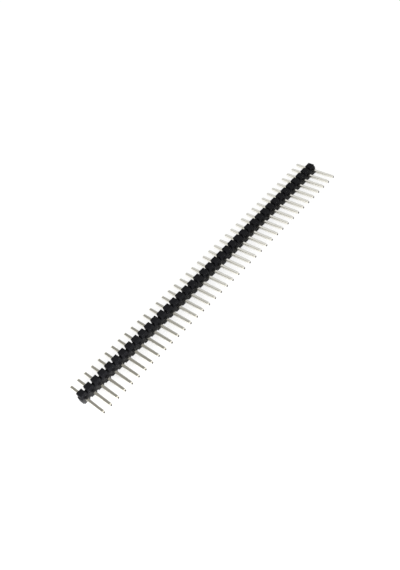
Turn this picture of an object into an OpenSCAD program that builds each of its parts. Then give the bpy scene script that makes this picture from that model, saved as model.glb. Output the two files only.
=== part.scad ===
// Single-row pin header strip: one moulded housing with a row of square pins pressed through it.
// Millimetres. X runs along the row, +Y points to the solder tails, -Y to the mating pins, Z is up.
// The strip lies on a long side of its housing at z = 0. The pins' midpoint is at y = 0.

/* [Row] */
// Number of pins in the row
positions = 40; // [2:1:50]
// Distance from pin to pin
pitch = 1.27; // [1:0.01:2.6]

/* [Pins] */
// Side of the square pin
pin_w = 0.40; // [0.25:0.01:0.5]
// Length of the tail that goes through the board
tail_l = 2.20; // [1.2:0.05:4]
// Length of the pin on the mating side
mating_l = 3.90; // [2:0.05:8]
// Length of the taper at the tail's tip
tail_tip_l = 0.16; // [0.1:0.01:0.8]
// Length of the taper at the mating tip
mating_tip_l = 0.20; // [0.1:0.01:0.9]
// Width of the flat left at each tip
tip_flat = 0.24; // [0.05:0.01:0.24]

/* [Housing] */
// Thickness of the housing along the pins
body_t = 1.00; // [0.6:0.05:2.6]
// Width of the housing across the row
body_w = 1.70; // [1:0.01:2.6]
// Chamfer along the long edges
edge_chamfer = 0.03; // [0.01:0.01:0.1]

/* [Break notches] */
// Width of a notch at its mouth
notch_mouth = 0.32; // [0.2:0.01:0.5]
// Width of a notch at its floor
notch_floor = 0.22; // [0.05:0.01:0.3]
// Depth of a notch in the upper side
top_notch = 0.52; // [0.1:0.01:0.65]
// Depth of a notch in the side that the strip lies on
bottom_notch = 0.24; // [0.1:0.01:0.3]
// Depth of a groove between two pins in the face that meets the board
board_groove = 0.20; // [0.05:0.01:0.4]

/* [Hidden] */
pin_l = tail_l + body_t + mating_l;
tail_tip_y = pin_l / 2;
mating_tip_y = -pin_l / 2;
mating_face_y = mating_tip_y + mating_l;
board_face_y = mating_face_y + body_t;
row_l = positions * pitch;
axis_z = body_w / 2;
over = 0.5; // how far a cutter reaches past the face that it opens

function pin_x(i) = (i - (positions + 1) / 2) * pitch;
function pin_name(i) = str("pin_", i < 10 ? "0" : "", i);

// Extrudes an X-Z outline from y0 to y1.
module along_y(y0, y1)
    translate([0, y1, 0]) rotate([90, 0, 0]) linear_extrude(y1 - y0) children();

// Extrudes a Y-Z section along the row, centred.
module along_x(length)
    rotate([90, 0, 90]) linear_extrude(length, center = true) children();

// Repeats a shape at each limit between two pins and at both ends of the row,
// where half a notch is left because the strip was broken off there.
module at_limits()
    for (i = [0 : positions]) translate([i * pitch - row_l / 2, 0]) children();

// Break notch that opens upwards, its mouth at y = 0.
module notch(depth)
    polygon([
        [-notch_mouth / 2, over], [-notch_mouth / 2, 0],
        [-notch_floor / 2, -depth], [notch_floor / 2, -depth],
        [notch_mouth / 2, 0], [notch_mouth / 2, over]
    ]);

// Outline of the row seen along the pins.
module row_outline()
    difference() {
        translate([-row_l / 2, 0]) square([row_l, body_w]);
        at_limits() {
            translate([0, body_w]) notch(top_notch);
            mirror([0, 1]) notch(bottom_notch);
        }
    }

// Cross-section of the housing with its four long edges chamfered.
module body_section()
    polygon([
        [mating_face_y + edge_chamfer, 0], [board_face_y - edge_chamfer, 0],
        [board_face_y, edge_chamfer], [board_face_y, body_w - edge_chamfer],
        [board_face_y - edge_chamfer, body_w], [mating_face_y + edge_chamfer, body_w],
        [mating_face_y, body_w - edge_chamfer], [mating_face_y, edge_chamfer]
    ]);

// Square hole that pin i is pressed into.
module pin_hole(i)
    translate([pin_x(i) - pin_w / 2, mating_face_y - over, axis_z - pin_w / 2])
    cube([pin_w, body_t + 2 * over, pin_w]);

module housing()
    color("#1b1b20")
    difference() {
        intersection() {
            along_y(mating_face_y, board_face_y) row_outline();
            along_x(row_l + 2 * over) body_section();
        }
        translate([0, 0, -over]) linear_extrude(body_w + 2 * over)
            at_limits() translate([0, board_face_y]) notch(board_groove);
        for (i = [1 : positions]) pin_hole(i);
    }

// Side view of a pin with both tips tapered: across the pin in x, along it in y.
module pin_profile()
    polygon([
        [-tip_flat / 2, mating_tip_y], [tip_flat / 2, mating_tip_y],
        [pin_w / 2, mating_tip_y + mating_tip_l], [pin_w / 2, tail_tip_y - tail_tip_l],
        [tip_flat / 2, tail_tip_y], [-tip_flat / 2, tail_tip_y],
        [-pin_w / 2, tail_tip_y - tail_tip_l], [-pin_w / 2, mating_tip_y + mating_tip_l]
    ]);

module pin(i)
    color("#c9c6b8")
    translate([pin_x(i), 0, axis_z])
    intersection() {
        linear_extrude(pin_w, center = true) pin_profile();
        rotate([0, 90, 0]) linear_extrude(pin_w, center = true) pin_profile();
    }

housing();
for (i = [1 : positions])
    pin(i);
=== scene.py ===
"""Looks of a single-row pin header strip: a moulded housing and its square tinned pins.

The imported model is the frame. +X runs along the row, +Y points to the solder tails, -Y to the
mating pins and +Z up. Lengths are in millimetres until a mesh is made.
"""

import logging
import math
from dataclasses import dataclass, field
from enum import Enum
from typing import Any, Union

import bmesh
import bpy
import numpy as np
from mathutils import Matrix, Vector


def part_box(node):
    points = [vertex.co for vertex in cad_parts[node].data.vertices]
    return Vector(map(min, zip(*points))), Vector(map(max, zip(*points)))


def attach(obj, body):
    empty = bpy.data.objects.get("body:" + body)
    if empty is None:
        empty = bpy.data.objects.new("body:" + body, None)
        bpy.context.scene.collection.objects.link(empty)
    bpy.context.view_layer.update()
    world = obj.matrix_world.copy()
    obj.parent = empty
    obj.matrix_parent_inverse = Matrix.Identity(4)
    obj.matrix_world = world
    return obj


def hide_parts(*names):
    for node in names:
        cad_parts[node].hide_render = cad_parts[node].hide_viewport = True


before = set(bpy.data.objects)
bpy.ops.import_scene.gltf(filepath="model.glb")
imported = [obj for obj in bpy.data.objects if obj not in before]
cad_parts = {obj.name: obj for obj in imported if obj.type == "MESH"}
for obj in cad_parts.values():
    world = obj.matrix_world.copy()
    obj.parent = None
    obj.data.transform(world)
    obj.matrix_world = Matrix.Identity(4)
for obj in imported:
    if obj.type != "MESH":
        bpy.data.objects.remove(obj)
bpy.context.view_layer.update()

LOG = logging.getLogger("pin_header")
MM = 0.001
SAME_POINT = 5e-5  # points nearer than this are one point, in millimetres
SHARP_ANGLE = 50.0  # edges bent more than this stay sharp, in degrees

Number = Union[float, "Sock"]
Colour = tuple[float, float, float]


class Side(Enum):
    """The two sides of the housing, by the sign of Y."""

    MATING = -1
    TAIL = 1


# --------------------------------------------------------------------------- shader graphs


class Sock:
    """An output socket that takes part in Python arithmetic; each operation adds a Math node."""

    def __init__(self, graph: "Graph", out: bpy.types.NodeSocket) -> None:
        """Wraps a socket.

        Args:
            graph: the graph that new Math nodes go into.
            out: the output socket.
        """
        self.graph = graph
        self.out = out

    def _math(self, operation: str, first: Number, second: Number) -> "Sock":
        """Adds one Math node.

        Args:
            operation: the node's operation, such as ADD.
            first: its first value.
            second: its second value.

        Returns:
            The result.
        """
        return self.graph.node(
            "ShaderNodeMath", {"operation": operation}, {0: first, 1: second}
        )

    def __add__(self, other: Number) -> "Sock":
        """self + other."""
        return self._math("ADD", self, other)

    __radd__ = __add__

    def __sub__(self, other: Number) -> "Sock":
        """self - other."""
        return self._math("SUBTRACT", self, other)

    def __rsub__(self, other: Number) -> "Sock":
        """other - self."""
        return self._math("SUBTRACT", other, self)

    def __mul__(self, other: Number) -> "Sock":
        """self * other."""
        return self._math("MULTIPLY", self, other)

    __rmul__ = __mul__

    def __abs__(self) -> "Sock":
        """The size of self without its sign."""
        return self._math("ABSOLUTE", self, 0.0)

    def step(self, low: float, high: float) -> "Sock":
        """A smooth step from 0 at low to 1 at high.

        Args:
            low: where the step starts; it may be above high, which turns the step round.
            high: where the step ends.

        Returns:
            The step, between 0 and 1.
        """
        return self.graph.node(
            "ShaderNodeMapRange",
            {"interpolation_type": "SMOOTHSTEP", "clamp": True},
            {"Value": self, "From Min": low, "From Max": high},
        )


class Graph:
    """A node tree that is filled from Python."""

    def __init__(self, tree: bpy.types.NodeTree) -> None:
        """Empties a tree.

        Args:
            tree: the tree of a material or of the world.
        """
        self.tree = tree
        tree.nodes.clear()

    def node(
        self, kind: str, settings: dict[str, Any], inputs: dict[Any, Any], out: Any = 0
    ) -> Sock:
        """Adds a node, sets it up, and feeds its sockets.

        Args:
            kind: the node's type, such as ShaderNodeMath.
            settings: what is set on the node first; "stops" fills a colour ramp.
            inputs: socket name or number to a value or a Sock.
            out: which output is wanted.

        Returns:
            The wanted output.
        """
        made = self.tree.nodes.new(kind)
        for name, value in settings.items():
            if name == "stops":
                self._stops(made.color_ramp, value)
            else:
                setattr(made, name, value)
        for name, value in inputs.items():
            socket = made.inputs[name]
            if isinstance(value, Sock):
                self.tree.links.new(value.out, socket)
            else:
                socket.default_value = value
        return Sock(self, made.outputs[out] if made.outputs else None)

    @staticmethod
    def _stops(ramp: bpy.types.ColorRamp, stops: list[tuple[float, tuple]]) -> None:
        """Fills a colour ramp.

        Args:
            ramp: the ramp.
            stops: (position, colour) from left to right.
        """
        while len(ramp.elements) < len(stops):
            ramp.elements.new(1.0)
        for element, (position, colour) in zip(ramp.elements, stops):
            element.position, element.color = position, (*colour, 1.0)

    def place(self) -> tuple[Sock, tuple[Sock, Sock, Sock]]:
        """Object coordinates in millimetres.

        Returns:
            The point, and its X, Y and Z.
        """
        metres = self.node("ShaderNodeTexCoord", {}, {}, "Object")
        point = self.node(
            "ShaderNodeVectorMath", {"operation": "SCALE"}, {0: metres, "Scale": 1 / MM}
        )
        parts = [self.node("ShaderNodeSeparateXYZ", {}, {0: point}, i) for i in range(3)]
        return point, (parts[0], parts[1], parts[2])

    @staticmethod
    def depth(value: Sock, limits: tuple[float, float]) -> Sock:
        """How far a coordinate lies inside two limits; below 0 it lies outside them.

        Args:
            value: the coordinate.
            limits: the lower and the upper limit.

        Returns:
            The distance to the nearer limit.
        """
        low, high = limits
        return (high - low) / 2 - abs(value - (low + high) / 2)

    def stretched(self, point: Sock, scale: tuple[float, float, float]) -> Sock:
        """A point scaled along each axis, which draws a noise out along the axes that are low.

        Args:
            point: the point.
            scale: the factor along X, Y and Z.

        Returns:
            The scaled point.
        """
        return self.node("ShaderNodeMapping", {}, {"Vector": point, "Scale": scale})

    def noise(self, point: Sock, scale: float, detail: float, rough: float = 0.5) -> Sock:
        """Fractal noise between 0 and 1.

        Args:
            point: where it is read, in millimetres.
            scale: features per millimetre.
            detail: octaves.
            rough: how strong the finer octaves are.

        Returns:
            The noise.
        """
        return self.node(
            "ShaderNodeTexNoise",
            {"noise_dimensions": "3D"},
            {"Vector": point, "Scale": scale, "Detail": detail, "Roughness": rough},
            "Fac",
        )

    def blend(self, share: Number, first: Any, second: Any) -> Sock:
        """A colour between two colours.

        Args:
            share: 0 gives the first and 1 the second.
            first: a colour or a Sock.
            second: a colour or a Sock.

        Returns:
            The mixed colour.
        """
        ends = [end if isinstance(end, Sock) else (*end, 1.0) for end in (first, second)]
        return self.node(
            "ShaderNodeMix",
            {"data_type": "RGBA", "clamp_factor": True},
            {0: share, 6: ends[0], 7: ends[1]},
            2,
        )

    def bump(self, height: Number, distance: float, strength: float, under: Any = None) -> Sock:
        """A normal bent by a height.

        Args:
            height: 0 to 1.
            distance: how high 1 stands, in millimetres.
            strength: how much of it counts.
            under: a normal that it is laid over.

        Returns:
            The normal.
        """
        inputs = {"Strength": strength, "Distance": distance * MM, "Height": height}
        if under is not None:
            inputs["Normal"] = under
        return self.node("ShaderNodeBump", {}, inputs)


@dataclass(frozen=True)
class MouldedPlastic:
    """Black moulded thermoplastic: satin and finely grained, worn paler along its edges, lighter
    low down on both faces as painted light from the floor, and torn at the ends of the row, where
    the strip was snapped off.

    half_row, faces and axis_z give the housing's place. The other lengths are depths below the
    faces or the ends, each from where an effect starts to where it is full.
    """

    half_row: float
    faces: tuple[float, float]
    axis_z: float
    colour: Colour = (0.0078, 0.0078, 0.0090)
    pale: Colour = (0.0120, 0.0120, 0.0135)
    # paler tone low down on both faces: painted light from the floor, not a finish of the plastic
    floor_lit: Colour = (0.0450, 0.0450, 0.0450)
    broken: Colour = (0.0500, 0.0500, 0.0520)
    roughness: float = 0.36
    specular: float = 0.03
    edge_depth: tuple[float, float] = (0.10, 0.01)
    # where the painted floor light lies: its depth below the faces and its height about the pins'
    # axis
    floor_light_depth: tuple[float, float] = (0.025, 0.005)
    floor_light_rise: tuple[float, float] = (0.23, -0.17)
    torn_depth: tuple[float, float] = (0.03, 0.005)

    def build(self) -> bpy.types.Material:
        """Makes the material.

        Returns:
            A material that reads Object coordinates.
        """
        made = bpy.data.materials.new("moulded_plastic")
        made.use_nodes = True
        g = Graph(made.node_tree)
        point, (x, y, z) = g.place()

        clouds = g.noise(point, scale=1.4, detail=3.0)
        grain = g.noise(point, scale=38.0, detail=4.0, rough=0.6)
        flow = g.noise(g.stretched(point, (1.0, 6.0, 1.0)), scale=5.0, detail=3.0)
        fibres = g.noise(g.stretched(point, (1.0, 9.0, 9.0)), scale=7.0, detail=2.0)
        scuffs = g.noise(point, scale=9.0, detail=3.0)
        tears = g.noise(point, scale=14.0, detail=4.0, rough=0.7)

        below_face = g.depth(y, self.faces)
        rub = below_face.step(*self.edge_depth) * scuffs.step(0.42, 0.68)
        # painted floor light: the lower part of both faces is made paler, standing in for light
        # from the floor
        low = (z - self.axis_z).step(*self.floor_light_rise)
        painted_floor_light = below_face.step(*self.floor_light_depth) * low
        snapped = (self.half_row - abs(x)).step(*self.torn_depth)

        tone = clouds.step(0.3, 0.7) * 0.35 + fibres.step(0.60, 0.72) * 0.15
        colour = g.blend(tone, self.colour, self.pale)
        colour = g.blend(rub * 0.45, colour, self.pale)
        # blends in the painted floor light low down on the faces
        colour = g.blend(painted_floor_light * (0.75 + 0.25 * grain), colour, self.floor_lit)
        colour = g.blend(snapped * (0.55 + 0.45 * grain), colour, self.broken)
        roughness = (
            self.roughness
            + (flow - 0.5) * 0.16
            + (grain - 0.5) * 0.10
            - rub * 0.10
            + snapped * 0.25
        )
        fine = g.bump(grain, distance=0.004, strength=0.55)
        broad = g.bump(flow, distance=0.012, strength=0.35, under=fine)
        torn = g.bump(tears * snapped, distance=0.05, strength=0.8, under=broad)
        shader = g.node(
            "ShaderNodeBsdfPrincipled",
            {},
            {
                "Base Color": colour,
                "Roughness": roughness,
                "Normal": torn,
                "Specular IOR Level": self.specular,
            },
        )
        g.node("ShaderNodeOutputMaterial", {}, {"Surface": shader})
        return made


@dataclass(frozen=True)
class TinPlate:
    """Tin plated over drawn wire: bright and slightly warm, with lines along the wire, darkened
    next to the housing's faces by scuffing and painted shade, and dark where the wire was cut off
    at both tips.

    half_length and faces give the place of the tips and of the housing's faces. The other lengths
    are distances from them, each from where an effect starts to where it is full.
    """

    half_length: float
    faces: tuple[float, float]
    colour: Colour = (0.93, 0.915, 0.85)
    dull: Colour = (0.82, 0.80, 0.73)
    cut: Colour = (0.09, 0.083, 0.073)
    # dark tone next to the housing's faces: scuffing and painted shade where the pins meet the
    # housing
    scuffed_shade: Colour = (0.12, 0.115, 0.105)
    roughness: float = 0.05
    taper_reach: tuple[float, float] = (0.20, 0.16)
    cut_reach: tuple[float, float] = (0.05, 0.01)
    # how far the scuffing and painted shade reach out from the housing's faces
    scuff_and_shade_reach: tuple[float, float] = (0.20, 0.06)

    def build(self) -> bpy.types.Material:
        """Makes the material.

        Returns:
            A material that reads Object coordinates.
        """
        made = bpy.data.materials.new("tin_plate")
        made.use_nodes = True
        g = Graph(made.node_tree)
        point, (_, y, _) = g.place()

        lines = g.noise(g.stretched(point, (1.0, 0.05, 1.0)), scale=34.0, detail=3.0, rough=0.6)
        blotch = g.noise(point, scale=2.6, detail=3.0)
        grain = g.noise(point, scale=55.0, detail=3.0, rough=0.6)
        spots = g.noise(point, scale=11.0, detail=2.0).step(0.66, 0.76)

        from_tip = self.half_length - abs(y)
        tapered = from_tip.step(*self.taper_reach)
        end = from_tip.step(*self.cut_reach)
        # scuffing and painted shade: the pins darken within this reach of the housing's faces
        root = (0.0 - g.depth(y, self.faces)).step(*self.scuff_and_shade_reach)

        tone = blotch.step(0.35, 0.70) * 0.30 + (lines - 0.5) * 0.3 + spots * 0.20
        colour = g.blend(tone, self.colour, self.dull)
        # blends in the scuffing and painted shade at the pins' roots
        colour = g.blend(root * (0.80 + 0.3 * grain), colour, self.scuffed_shade)
        colour = g.blend(end * (0.85 + 0.3 * grain), colour, self.cut)
        roughness = (
            self.roughness
            + (blotch - 0.5) * 0.04
            + (lines - 0.5) * 0.04
            + spots * 0.05
            + tapered * 0.05
            + end * 0.20
        )
        drawn = g.bump(lines, distance=0.003, strength=0.10)
        pitted = g.bump(grain, distance=0.002, strength=0.12, under=drawn)
        shader = g.node(
            "ShaderNodeBsdfPrincipled",
            {},
            {
                "Base Color": colour,
                "Metallic": 1.0,
                "Roughness": roughness,
                "Normal": pitted,
            },
        )
        g.node("ShaderNodeOutputMaterial", {}, {"Surface": shader})
        return made


# --------------------------------------------------------------------------- surfaces


def softened(path: np.ndarray, cuts: np.ndarray, steps: int, closed: bool) -> np.ndarray:
    """Rounds the corners of a path.

    Corner C with its neighbours P and N is replaced by the curve (1-t)^2 A + 2t(1-t) C + t^2 B,
    where A and B lie on CP and CN at the corner's cut from C.

    Args:
        path: corners, shape (n, 2).
        cuts: each corner's cut, shape (n,).
        steps: how many pieces a corner's curve has.
        closed: whether the last corner joins the first; otherwise both ends stay as they are.

    Returns:
        The rounded path, shape (m, 2).
    """
    before, after = np.roll(path, 1, 0) - path, np.roll(path, -1, 0) - path
    start = path + cuts[:, None] * before / np.linalg.norm(before, axis=1, keepdims=True)
    stop = path + cuts[:, None] * after / np.linalg.norm(after, axis=1, keepdims=True)
    t = np.linspace(0.0, 1.0, steps + 1)[None, :, None]
    curves = (
        (1 - t) ** 2 * start[:, None] + 2 * t * (1 - t) * path[:, None] + t**2 * stop[:, None]
    )
    if closed:
        return curves.reshape(-1, 2)
    return np.concatenate([path[:1], curves[1:-1].reshape(-1, 2), path[-1:]])


def normals(path: np.ndarray) -> np.ndarray:
    """Unit normals of an open path: the mean direction of both neighbours, turned a quarter.

    Args:
        path: points, shape (n, 2).

    Returns:
        Normals to the left of the way along the path, shape (n, 2).
    """
    along = np.diff(path, axis=0)
    along /= np.linalg.norm(along, axis=1, keepdims=True)
    mean = np.concatenate([along[:1], along[:-1] + along[1:], along[-1:]])
    mean /= np.linalg.norm(mean, axis=1, keepdims=True)
    return np.stack([-mean[:, 1], mean[:, 0]], 1)


def square_at(angles: np.ndarray, half: float, power: float) -> np.ndarray:
    """Points of a superellipse |x|^p + |z|^p = half^p at given angles: a square that is rounder
    the lower its power.

    Args:
        angles: polar angles.
        half: half the square's side.
        power: p.

    Returns:
        Points, shape (n, 2).
    """
    ray = np.stack([np.cos(angles), np.sin(angles)], 1)
    return half * ray / (np.abs(ray) ** power).sum(1, keepdims=True) ** (1 / power)


@dataclass
class Sheets:
    """Grids of points that become one mesh."""

    points: list[np.ndarray] = field(default_factory=list)
    quads: list[np.ndarray] = field(default_factory=list)
    count: int = 0

    def add(self, grid: np.ndarray, wrap: bool = False) -> None:
        """Adds grids and joins each point to its neighbours.

        Args:
            grid: millimetres, shape (copies, rows, columns, 3) or (rows, columns, 3).
            wrap: whether the last column joins the first.
        """
        grid = grid.reshape((-1,) + grid.shape[-3:])
        copies, rows, columns = grid.shape[:3]
        index = self.count + np.arange(copies * rows * columns).reshape(copies, rows, columns)
        if wrap:
            index = np.concatenate([index, index[:, :, :1]], 2)
        a, b = index[:, :-1, :-1], index[:, :-1, 1:]
        c, d = index[:, 1:, 1:], index[:, 1:, :-1]
        self.quads.append(np.stack([a, b, c, d], -1).reshape(-1, 4))
        self.points.append(grid.reshape(-1, 3))
        self.count += copies * rows * columns

    def build(self, name: str) -> bpy.types.Object:
        """Makes one closed mesh: points that coincide are merged and faces turned outwards.

        Args:
            name: the object's name.

        Returns:
            The object, linked to the scene, with its place in its mesh.
        """
        mesh = bpy.data.meshes.new(name)
        mesh.from_pydata(np.concatenate(self.points) * MM, [], np.concatenate(self.quads))
        work = bmesh.new()
        work.from_mesh(mesh)
        bmesh.ops.remove_doubles(work, verts=work.verts, dist=SAME_POINT * MM)
        bmesh.ops.recalc_face_normals(work, faces=work.faces)
        work.to_mesh(mesh)
        work.free()
        mesh.shade_smooth()
        mesh.set_sharp_from_angle(angle=math.radians(SHARP_ANGLE))
        made = bpy.data.objects.new(name, mesh)
        bpy.context.scene.collection.objects.link(made)
        flat = made.modifiers.new("even_faces", "WEIGHTED_NORMAL")
        flat.keep_sharp = True
        return made


# --------------------------------------------------------------------------- pieces


@dataclass
class PinRow:
    """The square pins: a rounded square section carried along Y, narrowed at both tips.

    faces are the housing's two faces in Y. corner, shoulder and rim are the cuts at the long
    edges, where a taper starts, and at the flat of a tip.
    """

    names: list[str]
    faces: tuple[float, float]
    tip_flat: float = 0.24
    taper: dict[Side, float] = field(default_factory=lambda: {Side.MATING: 0.20, Side.TAIL: 0.16})
    corner: float = 0.08
    shoulder: float = 0.05
    rim: float = 0.035
    corner_steps: int = 5
    tip_steps: int = 4

    def section(self, half: float) -> np.ndarray:
        """The section on a square of half side 1, with its corners rounded.

        Args:
            half: half the pin's side, in millimetres.

        Returns:
            Points, shape (n, 2).
        """
        corners = np.array([(1.0, 1.0), (-1.0, 1.0), (-1.0, -1.0), (1.0, -1.0)])
        return softened(corners, np.full(4, self.corner / half), self.corner_steps, True)

    def run(self, low: float, high: float, half: float) -> np.ndarray:
        """Half the pin's width along its length.

        Args:
            low: Y of the mating tip.
            high: Y of the tail's tip.
            half: half the pin's side.

        Returns:
            (y, half width) from tip to tip, closing to nothing at both, shape (n, 2).
        """
        corners = np.array(
            [
                (low, 0.0),
                (low, self.tip_flat / 2),
                (low + self.taper[Side.MATING], half),
                (high - self.taper[Side.TAIL], half),
                (high, self.tip_flat / 2),
                (high, 0.0),
            ]
        )
        cuts = np.array([0.0, self.rim, self.shoulder, self.shoulder, self.rim, 0.0])
        return softened(corners, cuts, self.tip_steps, False)

    def surface(self, low: Vector, high: Vector) -> np.ndarray:
        """A pin's surface: P(u, v) = centre + width(v) * section(u), at y(v).

        Args:
            low: the lowest corner of the pin's box, in metres.
            high: the highest corner.

        Returns:
            Points in millimetres, shape (rows, columns, 3).
        """
        low, high = np.array(low) / MM, np.array(high) / MM
        axis_x, _, axis_z = (low + high) / 2
        half = (high[0] - low[0]) / 2
        y, width = self.run(low[1], high[1], half).T[:, :, None]
        across, up = self.section(half).T[:, None, :]
        return np.stack(
            np.broadcast_arrays(axis_x + width * across, y, axis_z + width * up), -1
        )

    def build(self) -> list[bpy.types.Object]:
        """Makes and dresses every pin.

        Returns:
            One object for each pin.
        """
        low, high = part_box(self.names[0])
        tin = TinPlate((high[1] - low[1]) / 2 / MM, self.faces).build()
        made = []
        for name in self.names:
            sheets = Sheets()
            sheets.add(self.surface(*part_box(name)), wrap=True)
            pin = sheets.build(f"{name}_plated")
            dress(pin, tin, [name])
            made.append(pin)
        return made


@dataclass
class Housing:
    """The moulded housing: equal blocks in a row, joined by webs at the break notches.

    rim, mouth_cut and floor_cut are the cuts at the edges of both faces and at a notch's mouth
    and floor. hole_power makes the holes square; corner_rays are degrees to either side of a
    hole's corners, where the faces get points of their own.
    """

    node: str
    count: int
    notch_mouth: float = 0.32
    notch_floor: float = 0.22
    top_notch: float = 0.52
    bottom_notch: float = 0.24
    groove: float = 0.20
    hole: float = 0.40
    rim: float = 0.03
    mouth_cut: float = 0.05
    floor_cut: float = 0.06
    hole_power: float = 24.0
    corner_rays: tuple[float, ...] = (-7.0, -3.5, 0.0, 3.5, 7.0)
    notch_steps: int = 4
    rim_steps: int = 5
    web_points: int = 7

    def __post_init__(self) -> None:
        """Reads the housing's size and place from its box."""
        low, high = ([value / MM for value in corner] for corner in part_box(self.node))
        self.y0, self.y1 = low[1], high[1]
        self.half = (high[2] - low[2]) / 2
        self.middle = (high[2] + low[2]) / 2
        self.pitch = (high[0] - low[0]) / self.count
        self.left = low[0]

    def side(self, notch: float) -> np.ndarray:
        """One long side's outline on a block, from web to web, about the pin's axis.

        Args:
            notch: how deep the break notches on this side are.

        Returns:
            Points (x, z) from left to right, with extra ones where the rays through the hole's
            corners cross the outline, shape (n, 2).
        """
        edge, web = self.pitch / 2, self.half - notch
        right = np.array(
            [
                (edge - self.notch_mouth / 2, self.half),
                (edge - self.notch_floor / 2, web),
                (edge, web),
            ]
        )
        corners = np.concatenate([right[::-1] * (-1, 1), right])
        cuts = np.array([0.0, self.floor_cut, self.mouth_cut, self.mouth_cut, self.floor_cut, 0.0])
        return self.with_rays(softened(corners, cuts, self.notch_steps, False))

    def with_rays(self, path: np.ndarray) -> np.ndarray:
        """Adds the points where rays near both diagonals cross a path.

        A ray r meets edge AB at the share (A x r) / (A x r - B x r) of the way from A to B. Rays
        that pass beyond the path's ends are left out.

        Args:
            path: points whose polar angle falls all the way, shape (n, 2).

        Returns:
            The path with the new points in their places.
        """
        near, margin = np.radians(self.corner_rays), 0.01
        rays = np.concatenate([math.pi / 4 + near, 3 * math.pi / 4 + near])
        angles = np.arctan2(path[:, 1], path[:, 0])
        rays = rays[(rays > angles[-1] + margin) & (rays < angles[0] - margin)]
        edge = np.searchsorted(-angles, -rays) - 1
        a, b = path[edge], path[edge + 1]
        r = np.stack([np.cos(rays), np.sin(rays)], 1)
        first = a[:, 0] * r[:, 1] - a[:, 1] * r[:, 0]
        second = b[:, 0] * r[:, 1] - b[:, 1] * r[:, 0]
        crossing = a + (b - a) * (first / (first - second))[:, None]
        both = np.concatenate([path, crossing])
        return both[np.argsort(-np.arctan2(both[:, 1], both[:, 0]), kind="stable")]

    def skin(self) -> np.ndarray:
        """A block's outer surface: its outline carried along Y.

        Towards each face the outline draws in along a quarter circle: by rim * (1 - sin a) at a
        depth of rim * (1 - cos a).

        Returns:
            Points from the mating side to the board side, shape (rows, columns, 3).
        """
        angles = np.linspace(0.0, math.pi / 2, self.rim_steps + 1)
        rings = [(self.rim * (1 - math.sin(a)), self.rim * (1 - math.cos(a))) for a in angles]
        front, back = [], []
        for inset, depth in rings:
            loop = self.loop(inset)
            front.append(self.lifted(loop, self.y0 + depth))
            back.append(self.lifted(loop, self.board_y(loop[:, 0]) - depth))
        return np.stack(front + back[::-1])

    def loop(self, inset: float) -> np.ndarray:
        """A block's whole outline, drawn in by an inset.

        Args:
            inset: how far it moves against its normal.

        Returns:
            The upper side, the right web, the lower side and the left web, shape (n, 2).
        """
        upper, lower = (
            path - normals(path) * inset
            for path in (self.side(self.top_notch), self.side(self.bottom_notch))
        )
        lower = (lower * (1, -1))[::-1]
        share = np.linspace(0.0, 1.0, self.web_points + 2)[1:-1, None]
        return np.concatenate(
            [
                upper,
                upper[-1] + (lower[0] - upper[-1]) * share,
                lower,
                lower[-1] + (upper[0] - lower[-1]) * share,
            ]
        )

    def board_y(self, x: np.ndarray) -> np.ndarray:
        """Y of the board side at x: the face, a slanted groove wall, or the groove's floor.

        The groove's share of its depth is (mouth/2 - d) / (mouth/2 - floor/2), kept between 0 and
        1, where d is the distance to the limit between two pins.

        Args:
            x: across a block, from its pin's axis.

        Returns:
            Y, of x's shape.
        """
        mouth, floor = self.notch_mouth / 2, self.notch_floor / 2
        share = (mouth - self.pitch / 2 + np.abs(x)) / (mouth - floor)
        return self.y1 - self.groove * np.clip(share, 0.0, 1.0)

    def copies(self, grid: np.ndarray, at: np.ndarray) -> np.ndarray:
        """Repeats a grid about the axes of the pins.

        Args:
            grid: points about a pin's axis, shape (rows, columns, 3).
            at: X of each axis.

        Returns:
            Points at the axes' height, shape (copies, rows, columns, 3).
        """
        moved = grid[None] + np.array([0.0, 0.0, self.middle])
        return moved + at[:, None, None, None] * np.array([1.0, 0.0, 0.0])

    @staticmethod
    def lifted(ring: np.ndarray, y: Any) -> np.ndarray:
        """Places a ring in space.

        Args:
            ring: points (x, z), shape (n, 2).
            y: their Y, one number or one for each.

        Returns:
            Points, shape (n, 3).
        """
        return np.stack([ring[:, 0], np.broadcast_to(y, len(ring)), ring[:, 1]], 1)

    def build(self) -> bpy.types.Object:
        """Makes and dresses the housing.

        Returns:
            The housing's object.
        """
        at = self.left + self.pitch * (np.arange(self.count) + 0.5)
        grid = self.skin()
        upper_end = len(self.side(self.top_notch))
        lower_start = upper_end + self.web_points
        lower_end = lower_start + len(self.side(self.bottom_notch))
        sheets = Sheets()
        sheets.add(self.copies(grid[:, :upper_end], at))
        sheets.add(self.copies(grid[:, lower_start:lower_end], at))
        sheets.add(self.copies(self.through(), at), wrap=True)
        right = grid[:, upper_end - 1 : lower_start + 1]
        left = np.concatenate([grid[:, lower_end - 1 :], grid[:, :1]], 1)
        sheets.add(self.copies(right, at[-1:]))
        sheets.add(self.copies(left, at[:1]))
        made = sheets.build(f"{self.node}_moulded")
        plastic = MouldedPlastic(self.pitch * self.count / 2, (self.y0, self.y1), self.middle)
        dress(made, plastic.build(), [self.node])
        return made

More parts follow.
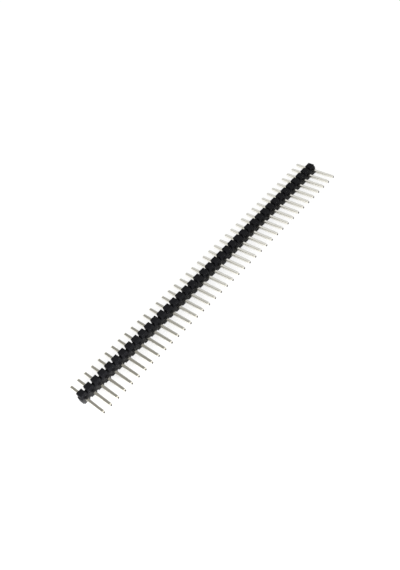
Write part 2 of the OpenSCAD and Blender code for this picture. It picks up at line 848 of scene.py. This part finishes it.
    def through(self) -> np.ndarray:
        """Both faces of a block and the hole between them, as one band.

        It runs from the outline over the mating face, through the pin's hole and out over the
        board face.

        Returns:
            Points, shape (rows, columns, 3).
        """
        outline, face = self.loop(0.0), self.loop(self.rim)
        angles = np.arctan2(outline[:, 1], outline[:, 0])
        hole = square_at(angles, self.hole / 2, self.hole_power)
        flat, flank = (self.pitch - self.notch_mouth) / 2, (self.pitch - self.notch_floor) / 2
        groove_edge = np.stack([np.clip(face[:, 0], -flank, flank), face[:, 1]], 1)
        face_edge = np.stack([np.clip(face[:, 0], -flat, flat), face[:, 1]], 1)
        rings = [
            (face, self.y0),
            (hole, self.y0),
            (hole, self.y1),
            (face_edge, self.y1),
            (groove_edge, self.board_y(groove_edge[:, 0])),
            (face, self.board_y(face[:, 0])),
        ]
        return np.stack([self.lifted(ring, y) for ring, y in rings])


def dress(piece: bpy.types.Object, finish: bpy.types.Material, nodes: list[str]) -> None:
    """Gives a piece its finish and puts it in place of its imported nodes.

    Args:
        piece: the new object.
        finish: its material.
        nodes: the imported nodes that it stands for.
    """
    piece.data.materials.append(finish)
    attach(piece, "root")
    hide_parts(*nodes)
    LOG.info("%s: %d faces, %s", piece.name, len(piece.data.polygons), finish.name)


# --------------------------------------------------------------------------- studio


@dataclass(frozen=True)
class Softbox:
    """A square area lamp that faces the middle of the strip; it is neither seen nor mirrored."""

    name: str
    azimuth: float
    elevation: float
    distance: float
    side: float
    radiance: float

    def build(self) -> bpy.types.Object:
        """Makes the lamp. Its power is radiance * pi * area.

        Returns:
            The lamp's object.
        """
        data = bpy.data.lights.new(self.name, "AREA")
        data.shape, data.size = "SQUARE", self.side
        data.energy = self.radiance * math.pi * self.side**2
        made = bpy.data.objects.new(self.name, data)
        bpy.context.scene.collection.objects.link(made)
        away = direction(self.azimuth, self.elevation)
        made.location = away * self.distance
        made.rotation_euler = (-away).to_track_quat("-Z", "Y").to_euler()
        made.visible_camera = made.visible_glossy = False
        return made


def direction(azimuth: float, elevation: float) -> Vector:
    """The unit vector from the strip towards a place in the studio.

    Args:
        azimuth: degrees; 0 is the mating side and 90 is +X.
        elevation: degrees above the floor.

    Returns:
        The direction.
    """
    a, e = math.radians(azimuth), math.radians(elevation)
    return Vector((math.sin(a) * math.cos(e), -math.cos(a) * math.cos(e), math.sin(e)))


@dataclass(frozen=True)
class Studio:
    """A pale floor in an even white room, and soft lamps.

    The bright pins mirror a ceiling whose tone runs with height, from the horizon at 0 to straight
    up at 1. Towards the left it is warm, with a dim ring; towards the right it is lit, and
    darkest down at the horizon. sides gives where one turns into the other, along X.
    """

    floor_half: float = 1.5
    floor_gap: float = 0.003
    floor_tone: float = 0.82
    seen_floor: tuple[float, float] = (0.765, 0.28)
    mirrored_floor: tuple[float, float] = (0.30, 0.80)
    room: float = 0.85
    warm: Colour = (1.0, 0.975, 0.90)
    white: Colour = (1.0, 1.0, 1.0)
    sides: tuple[float, float] = (0.25, 0.45)
    dim: tuple[tuple[float, float], ...] = (
        (0.00, 1.00), (0.45, 0.85), (0.62, 0.30), (0.80, 0.30), (0.95, 1.00), (1.00, 1.00),
    )
    lit: tuple[tuple[float, float], ...] = (
        (0.00, 0.20), (0.35, 0.25), (0.56, 0.60), (0.62, 0.75), (0.78, 0.75), (0.87, 0.97),
    )
    lamps: tuple[Softbox, ...] = (
        Softbox("softbox_right", 120.0, 36.0, distance=0.45, side=0.36, radiance=0.45),
        Softbox("softbox_top", 90.0, 72.0, distance=0.45, side=0.25, radiance=0.45),
        Softbox("softbox_near", -60.0, 12.0, distance=0.06, side=0.02, radiance=40.0),
    )

    def build(self) -> None:
        """Makes the floor, the room's light and the lamps, and sets plain colours."""
        bpy.context.scene.view_settings.view_transform = "Standard"
        self.floor()
        self.light()
        for lamp in self.lamps:
            lamp.build()

    def floor(self) -> None:
        """A wide floor that looks white and keeps a soft shadow."""
        r, z = self.floor_half, -self.floor_gap * MM
        mesh = bpy.data.meshes.new("floor")
        mesh.from_pydata([(-r, -r, z), (r, -r, z), (r, r, z), (-r, r, z)], [], [(0, 1, 2, 3)])
        made = bpy.data.objects.new("floor", mesh)
        bpy.context.scene.collection.objects.link(made)
        material = bpy.data.materials.new("pale_floor")
        material.use_nodes = True
        g = Graph(material.node_tree)
        seen, mirrored, passed = self.rays(g)
        plain = g.node("ShaderNodeBsdfDiffuse", {}, {"Color": (*(self.floor_tone,) * 3, 1.0)})
        white = self.glowing(g, *self.seen_floor)
        bright = self.glowing(g, *self.mirrored_floor)
        both = g.node("ShaderNodeMixShader", {}, {0: mirrored + passed, 1: plain, 2: bright})
        both = g.node("ShaderNodeMixShader", {}, {0: seen, 1: both, 2: white})
        g.node("ShaderNodeOutputMaterial", {}, {"Surface": both})
        mesh.materials.append(material)

    @staticmethod
    def rays(g: Graph) -> list[Sock]:
        """Tells the kinds of rays apart.

        Args:
            g: the graph.

        Returns:
            1 for a ray of its kind and 0 otherwise: from the camera, mirrored, let through.
        """
        kinds = ("Is Camera Ray", "Is Glossy Ray", "Is Transmission Ray")
        return [g.node("ShaderNodeLightPath", {}, {}, kind) for kind in kinds]

    @staticmethod
    def glowing(g: Graph, glow: float, shade: float) -> Sock:
        """A surface that gives off white light and also shows the light that falls on it.

        Args:
            g: the material's graph.
            glow: how much white it gives off.
            shade: its diffuse reflectance.

        Returns:
            The shader.
        """
        shaded = g.node("ShaderNodeBsdfDiffuse", {}, {"Color": (shade, shade, shade, 1.0)})
        white = g.node("ShaderNodeEmission", {}, {"Strength": glow})
        return g.node("ShaderNodeAddShader", {}, {0: shaded, 1: white})

    def light(self) -> None:
        """The room: white where it is seen, plain light on surfaces, and the ceiling for mirrored
        rays."""
        world = bpy.data.worlds.new("room")
        bpy.context.scene.world = world
        world.use_nodes = True
        g = Graph(world.node_tree)
        way = g.node("ShaderNodeTexCoord", {}, {}, "Generated")
        right, height = (g.node("ShaderNodeSeparateXYZ", {}, {0: way}, i) for i in (0, 2))
        seen, mirrored, passed = self.rays(g)
        dim, lit = (
            g.node(
                "ShaderNodeValToRGB",
                {"stops": [(at, tuple(level * part for part in tint)) for at, level in stops]},
                {"Fac": height},
            )
            for stops, tint in ((self.dim, self.warm), (self.lit, self.white))
        )
        ceiling = g.blend(right.step(*self.sides), dim, lit)
        light = g.blend(mirrored, (self.room,) * 3, ceiling)
        light = g.blend(seen + passed, light, self.white)
        room = g.node("ShaderNodeBackground", {}, {"Color": light, "Strength": 1.0})
        g.node("ShaderNodeOutputWorld", {}, {"Surface": room})


@dataclass(frozen=True)
class ViewPoint:
    """The camera: where it stands round its target, its lean, its lens and what it can see.

    Angles are in degrees, distance, target and lens in millimetres, and clip in metres.
    """

    azimuth: float = -32.02
    elevation: float = 44.99
    lean: float = 21.25
    distance: float = 95.90
    target: tuple[float, float, float] = (-1.949, 0.940, -0.102)
    lens: float = 42.30
    clip: tuple[float, float] = (0.001, 10.0)

    def place(self) -> bpy.types.Object:
        """Makes the camera and gives it to the scene.

        Returns:
            The camera's object.
        """
        data = bpy.data.cameras.new("camera")
        data.lens = self.lens
        data.clip_start, data.clip_end = self.clip
        made = bpy.data.objects.new("camera", data)
        bpy.context.scene.collection.objects.link(made)
        back = direction(self.azimuth, self.elevation)
        right = Vector((0.0, 0.0, 1.0)).cross(back).normalized()
        up = back.cross(right)
        lean = math.radians(self.lean)
        leant_right = right * math.cos(lean) - up * math.sin(lean)
        leant_up = up * math.cos(lean) + right * math.sin(lean)
        turn = Matrix((leant_right, leant_up, back)).transposed().to_4x4()
        made.matrix_world = (
            Matrix.Translation((Vector(self.target) + back * self.distance) * MM) @ turn
        )
        bpy.context.scene.camera = made
        return made


def main() -> None:
    """Builds the view, the studio and every piece."""
    logging.basicConfig(level=logging.INFO, format="%(message)s")
    ViewPoint().place()
    Studio().build()
    pins = sorted(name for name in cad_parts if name.startswith("pin_"))
    housing = Housing("housing", len(pins))
    housing.build()
    PinRow(pins, (housing.y0, housing.y1)).build()


if __name__ == "__main__":
    main()
